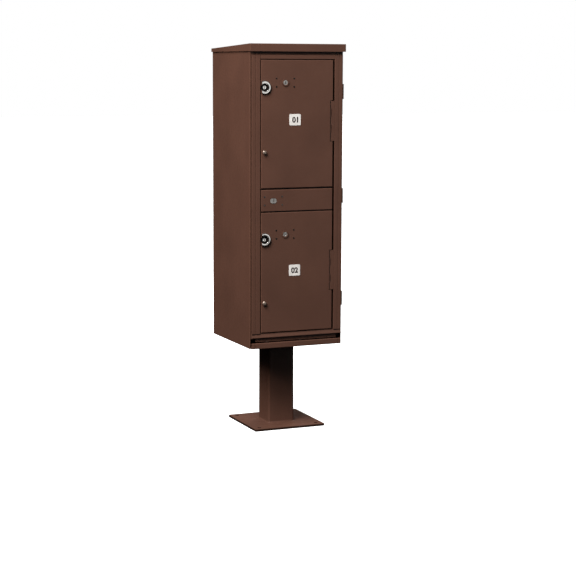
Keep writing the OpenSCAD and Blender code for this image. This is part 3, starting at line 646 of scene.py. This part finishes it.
class LOCKER_OT_pedestal(Build):
    """Base plate, tube and top flange of the pedestal, with the welds round the tube"""
    bl_idname = "locker.pedestal"
    bl_label = "Pedestal"

    def build(self, scene):
        s = scene.locker_sheet
        plate = broken("base_plate", "base_plate_broken", s.plate_edge, 3)
        # The plate's side faces take the painted shade coat: a painted dark outline and dark hole walls.
        paint_shade(plate, lambda face: abs(face.normal.z) < 0.6)
        broken("pedestal_tube", "pedestal_tube_drawn", s.edge)
        broken("pedestal_flange", "pedestal_flange_plate", s.plate_edge, 3)
        lo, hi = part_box("pedestal_tube")
        for name, z, up in (("weld_at_base", lo.z, 1), ("weld_at_flange", hi.z, -1)):
            weld = self.weld(name, (hi.x - lo.x) / 2, z, up, s)
            weld.data.materials.clear()
            weld.data.materials.append(bpy.data.materials["brown_coat"])
            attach(weld, "cabinet")

    def weld(self, name, half, z, up, s):
        """A hollow-faced bead between the tube's wall and the plate, above it or below it."""
        steps = 5
        rest()
        bpy.ops.mesh.primitive_plane_add(size=2 * half, location=(0, 0, z))
        obj = settle(bpy.context.object)
        edit_all(obj)
        bpy.ops.mesh.bevel(affect="VERTICES", offset=s.tube_corner, segments=6)
        bpy.ops.mesh.subdivide(number_cuts=3)
        bpy.ops.mesh.delete(type="ONLY_FACE")
        edit_all(obj)
        out, high = s.weld, 0.0
        bpy.ops.transform.resize(value=((half + out) / half,) * 2 + (1,), center_override=(0, 0, z))
        for i in range(1, steps + 1):
            turn = math.pi / 2 * i / steps
            next_out, next_high = s.weld * (1 - math.sin(turn)), s.weld * (1 - math.cos(turn))
            grow = (half + next_out) / (half + out)
            lift = up * (next_high - high)
            bpy.ops.mesh.extrude_edges_move(TRANSFORM_OT_translate={"value": (0, 0, lift)})
            bpy.ops.transform.resize(value=(grow, grow, 1), center_override=(0, 0, z))
            out, high = next_out, next_high
        rest()
        obj.name = obj.data.name = name
        clean(obj)
        return smooth(obj, 60)


class LOCKER_OT_customer_locks(Build):
    """Chrome collar, black cup and keyed plug of each customer lock"""
    bl_idname = "locker.customer_locks"
    bl_label = "Customer locks"

    def build(self, scene):
        k = scene.locker_locks
        for level in ("upper", "lower"):
            lo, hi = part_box(level + "_lock_collar")
            radius = (hi.z - lo.z) / 2
            x, z = hi.x - radius, (hi.z + lo.z) / 2
            front, back, lip = lo.y, hi.y, k.lip
            rings = [(k.bore, back), (radius, back), (radius, front + 2 * lip)]
            rings += arc_rings(radius - 2 * lip, front + 2 * lip, 2 * lip, 0, 90, 6)[1:]
            rings += arc_rings(k.bore + lip, front + lip, lip, 90, 180, 4)
            collar = hollow_turned(level + "_collar_ring", x, z, rings, k.sides)
            slice_off(collar, (lo.x, 0, z), (-1, 0, 0))
            smooth(collar, 40)
            hand_over(collar, [level + "_lock_collar"])
            broken(level + "_lock_plug", level + "_plug_and_cam", k.milled_edge, 3)
            broken(level + "_lock_body", level + "_lock_cup", k.cup_edge)


class LOCKER_OT_control_locks(Build):
    """Cases, plugs, studs and bolts of the control locks and of the arrow lock"""
    bl_idname = "locker.control_locks"
    bl_label = "Control and arrow locks"

    def build(self, scene):
        k = scene.locker_locks
        for node in ("upper_control_case", "lower_control_case", "arrow_lock_case",
                     "upper_control_plug", "lower_control_plug", "arrow_plug",
                     "upper_trap_bolt", "lower_trap_bolt", "latch_bar"):
            broken(node, node + "_milled", k.milled_edge, 3)
        for node in ("upper_control_studs", "lower_control_studs", "arrow_lock_studs"):
            hand_over(self.studs(k, node), [node])

    def studs(self, k, node):
        """Four studs with domed heads, modelled once and copied."""
        lo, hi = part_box(node)
        head_r, head_h, dome = k.stud_head, k.stud_head_depth, k.stud_dome
        rings = [(head_r * 0.7, hi.y), (head_r, hi.y - head_h / 2), (head_r, hi.y - head_h),
                 (k.stud_shank, hi.y - head_h), (k.stud_shank, lo.y + head_h), (head_r, lo.y + head_h),
                 (head_r, lo.y + dome), (head_r * 0.86, lo.y + dome * 0.35),
                 (head_r * 0.55, lo.y + dome * 0.08), (head_r * 0.2, lo.y)]
        first = turned(node + "_domed", lo.x + head_r, lo.z + head_r, rings, 32)
        edit_all(first)
        bpy.ops.mesh.edge_face_add()
        rest()
        clean(first)
        dx, dz = hi.x - lo.x - 2 * head_r, hi.z - lo.z - 2 * head_r
        copies = [copy_at(first, (mx, 0, mz)) for mx, mz in ((dx, 0), (0, dz), (dx, dz))]
        return smooth(joined(node + "_domed", [first] + copies), 50)


class LOCKER_OT_knobs(Build):
    """Domed pull knob of each door, with a waist and a riveted end"""
    bl_idname = "locker.knobs"
    bl_label = "Pull knobs"

    def build(self, scene):
        k = scene.locker_knobs
        chamfer = 0.0008
        for level in ("upper", "lower"):
            node = level + "_pull_knob"
            lo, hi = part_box(node)
            x, z = (lo.x + hi.x) / 2, (lo.z + hi.z) / 2
            radius = (hi.x - lo.x) / 2
            front, face = lo.y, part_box(level + "_door_panel")[0].y
            wide = face - k.stand
            rings = [(k.rivet - 1.5 * chamfer, hi.y), (k.rivet, hi.y - chamfer),
                     (k.rivet, hi.y - k.rivet_depth), (k.shank, hi.y - k.rivet_depth),
                     (k.shank, face), (k.waist, face),
                     (k.waist, face - 5 / 12 * k.stand), (k.waist + 0.0003, face - 2 / 3 * k.stand),
                     (radius - 0.0015, face - 47 / 60 * k.stand), (radius - 0.0003, face - 0.9 * k.stand)]
            rings += [(radius * math.cos(a), wide - (wide - front) * math.sin(a))
                      for a in (math.radians(10 * i) for i in range(9))]
            knob = turned(level + "_knob_domed", x, z, rings, 64)
            clean(knob)
            hand_over(smooth(knob, 40), [node])


class LOCKER_OT_hinges(Build):
    """Knuckles, leaves and pins of the master and parcel door hinges"""
    bl_idname = "locker.hinges"
    bl_label = "Hinges"

    def build(self, scene):
        s = scene.locker_sheet
        for node in ("master_hinge_fixed_leaves", "master_hinge_door_leaves", "master_hinge_pins",
                     "parcel_hinge_frame_leaves", "upper_hinge_leaf", "lower_hinge_leaf",
                     "parcel_hinge_pins"):
            obj = broken(node, node + "_rolled", s.hinge_edge)
            if "pins" not in node:
                recoat(obj, "brown_coat")
            # Parcel hinge sides facing left take a black finish: painted shade in the door gap.
            if "pins" not in node and "master" not in node:
                self.paint_gap_shade(obj)

    def paint_gap_shade(self, obj):
        """The sides facing left, in the slot beside the door, take the black finish: painted shade that
        darkens the door gap.
        """
        obj.data.materials[1] = bpy.data.materials["black_fittings"]
        for face in obj.data.polygons:
            face.material_index = 1 if face.normal.x < -0.5 else 0


class LOCKER_OT_plates(Build):
    """White plates with a number inlaid in each"""
    bl_idname = "locker.plates"
    bl_label = "Number plates"

    def build(self, scene):
        p = scene.locker_plates
        dull("plate_ink", p.ink, 0.5, 500, 0.00003)
        for level, number in (("upper", p.upper), ("lower", p.lower)):
            node = level + "_number_plate"
            lo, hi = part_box(node)
            broken(node, level + "_plate_engraved", p.rim, 3)
            self.digit(p, level, f"{number:02d}", (lo.x + hi.x) / 2, (lo.z + hi.z) / 2, lo.y)

    def digit(self, p, level, number, x, z, front):
        """The number's digits as one mesh, sunk in the plate's face."""
        rest()
        bpy.ops.object.text_add(location=(0, 0, 0))
        text = bpy.context.object
        text.data.body = number
        text.data.align_x = "CENTER"
        text.data.align_y = "CENTER"
        text.data.size = p.height * EM_OF_DIGIT
        text.data.offset = p.bold
        text.data.extrude = p.depth / 2
        take(text)
        bpy.ops.object.convert(target="MESH")
        obj = bpy.context.object
        obj.rotation_euler = (math.pi / 2, 0, 0)
        settle(obj)
        xs = [v.co.x for v in obj.data.vertices]
        zs = [v.co.z for v in obj.data.vertices]
        obj.location = (x - (min(xs) + max(xs)) / 2, front - p.depth / 2 + SUNK,
                        z - (min(zs) + max(zs)) / 2)
        settle(obj)
        clean(obj)
        obj.name = obj.data.name = level + "_digit"
        obj.data.materials.clear()
        obj.data.materials.append(bpy.data.materials["plate_ink"])
        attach(obj, level + "_door")


class LOCKER_OT_stage(Build):
    """Pale floor, soft lights and the camera"""
    bl_idname = "locker.stage"
    bl_label = "Stage"

    def build(self, scene):
        st = scene.locker_stage
        rest()
        bpy.ops.mesh.primitive_plane_add(size=80, location=(0, 0, 0))
        floor = bpy.context.object
        floor.name = floor.data.name = "floor"
        floor.visible_diffuse = False
        floor.visible_glossy = False
        mat, tree, shader, place = node_tree("floor_paint")
        tone = ramp(tree, noise(tree, place, 3, 2), 0.3, 0.7, shade_of(st.floor, 0.985), tuple(st.floor))
        tree.links.new(tone, shader.inputs["Base Color"])
        shader.inputs["Roughness"].default_value = 0.9
        shader.inputs["Specular IOR Level"].default_value = 0.1
        shader.inputs["Emission Color"].default_value = (1, 1, 1, 1)
        shader.inputs["Emission Strength"].default_value = st.glow
        floor.data.materials.append(mat)
        self.world(scene, st)
        self.lights(st)
        self.camera(scene, st)
        scene.view_settings.view_transform = "Standard"

    def world(self, scene, st):
        """White where the camera sees it; elsewhere a soft sky, bright above and dark below."""
        world = bpy.data.worlds.new("studio")
        scene.world = world
        world.use_nodes = True
        tree = world.node_tree
        tree.nodes.clear()
        out = tree.nodes.new("ShaderNodeOutputWorld")
        mix = tree.nodes.new("ShaderNodeMixShader")
        path = tree.nodes.new("ShaderNodeLightPath")
        white = tree.nodes.new("ShaderNodeBackground")
        white.inputs["Strength"].default_value = 1.0
        white.inputs["Color"].default_value = (1, 1, 1, 1)
        sky = tree.nodes.new("ShaderNodeBackground")
        sky.inputs["Strength"].default_value = st.fill
        coords = tree.nodes.new("ShaderNodeTexCoord")
        split = tree.nodes.new("ShaderNodeSeparateXYZ")
        rise = tree.nodes.new("ShaderNodeValToRGB")
        stops = rise.color_ramp.elements
        stops[0].position, stops[0].color = 0.0, (0.03, 0.03, 0.03, 1)
        stops[1].position, stops[1].color = 0.55, (1, 1, 1, 1)
        tree.links.new(coords.outputs["Generated"], split.inputs["Vector"])
        tree.links.new(split.outputs["Z"], rise.inputs["Fac"])
        tree.links.new(rise.outputs["Color"], sky.inputs["Color"])
        tree.links.new(path.outputs["Is Camera Ray"], mix.inputs["Fac"])
        tree.links.new(sky.outputs["Background"], mix.inputs[1])
        tree.links.new(white.outputs["Background"], mix.inputs[2])
        tree.links.new(mix.outputs["Shader"], out.inputs["Surface"])

    def lights(self, st):
        rest()
        bpy.ops.object.light_add(type="SUN", location=(-2, -4, 4))
        sun = bpy.context.object
        sun.name = "key_light"
        towards = Vector((math.sin(st.key_azimuth) * math.cos(st.key_rise),
                          -math.cos(st.key_azimuth) * math.cos(st.key_rise), math.sin(st.key_rise)))
        sun.rotation_euler = towards.to_track_quat("Z", "Y").to_euler()
        sun.data.energy = st.key
        sun.data.angle = st.key_spread
        self.panel("side_light", (-2.5, -1.9, 3.3), 2.0, st.side).visible_glossy = False
        self.panel("back_light", (2.5, 2.9, 2.6), 2.4, st.back).visible_glossy = False
        self.panel("gloss_card", (2.6, -5.2, 1.15), 2.1, st.card).visible_diffuse = False

    def panel(self, name, place, size, power):
        """A soft square light that faces the middle of the cabinet."""
        bpy.ops.object.light_add(type="AREA", location=place)
        light = bpy.context.object
        light.name = name
        light.data.shape = "SQUARE"
        light.data.size = size
        light.data.energy = power
        light.rotation_euler = (light.location - Vector((0, 0, 1.1))).to_track_quat("Z", "Y").to_euler()
        return light

    def camera(self, scene, st):
        rest()
        bpy.ops.object.camera_add(location=st.camera)
        cam = bpy.context.object
        cam.name = "camera"
        ahead = Vector((math.sin(st.yaw) * math.cos(st.pitch), math.cos(st.yaw) * math.cos(st.pitch),
                        -math.sin(st.pitch)))
        right = Vector((math.cos(st.yaw), -math.sin(st.yaw), 0))
        up = right.cross(ahead)
        turn = Matrix.Rotation(-st.roll, 3, ahead)
        right, up = turn @ right, turn @ up
        cam.rotation_euler = Matrix((right, up, -ahead)).transposed().to_euler()
        cam.data.sensor_width = 36
        cam.data.lens = st.lens
        cam.data.clip_start, cam.data.clip_end = 0.05, 200
        scene.camera = cam


BUILDERS = (LOCKER_OT_finishes, LOCKER_OT_cabinet, LOCKER_OT_roof, LOCKER_OT_master_door,
            LOCKER_OT_doors, LOCKER_OT_pedestal, LOCKER_OT_customer_locks, LOCKER_OT_control_locks,
            LOCKER_OT_knobs, LOCKER_OT_hinges, LOCKER_OT_plates, LOCKER_OT_stage)
GROUPS = {"locker_finish": LockerFinish, "locker_sheet": LockerSheet, "locker_locks": LockerLocks,
          "locker_knobs": LockerKnobs, "locker_plates": LockerPlates, "locker_stage": LockerStage}


class LOCKER_PT_panel(bpy.types.Panel):
    """Everything that builds and finishes the locker"""
    bl_idname = "LOCKER_PT_panel"
    bl_label = "Parcel locker"
    bl_space_type = "VIEW_3D"
    bl_region_type = "UI"
    bl_category = "Locker"

    def draw(self, context):
        for builder in BUILDERS:
            self.layout.operator(builder.bl_idname)
        for group, kind in GROUPS.items():
            box = self.layout.box()
            for prop in kind.__annotations__:
                box.prop(getattr(context.scene, group), prop)


def register():
    for cls in (*GROUPS.values(), *BUILDERS, LOCKER_PT_panel):
        bpy.utils.register_class(cls)
    for name, kind in GROUPS.items():
        setattr(bpy.types.Scene, name, bpy.props.PointerProperty(type=kind))


def unregister():
    for name in GROUPS:
        delattr(bpy.types.Scene, name)
    for cls in reversed((*GROUPS.values(), *BUILDERS, LOCKER_PT_panel)):
        bpy.utils.unregister_class(cls)


def main():
    register()
    for builder in BUILDERS:
        area, call = builder.bl_idname.split(".")
        getattr(getattr(bpy.ops, area), call)()


if __name__ == "__main__":
    main()
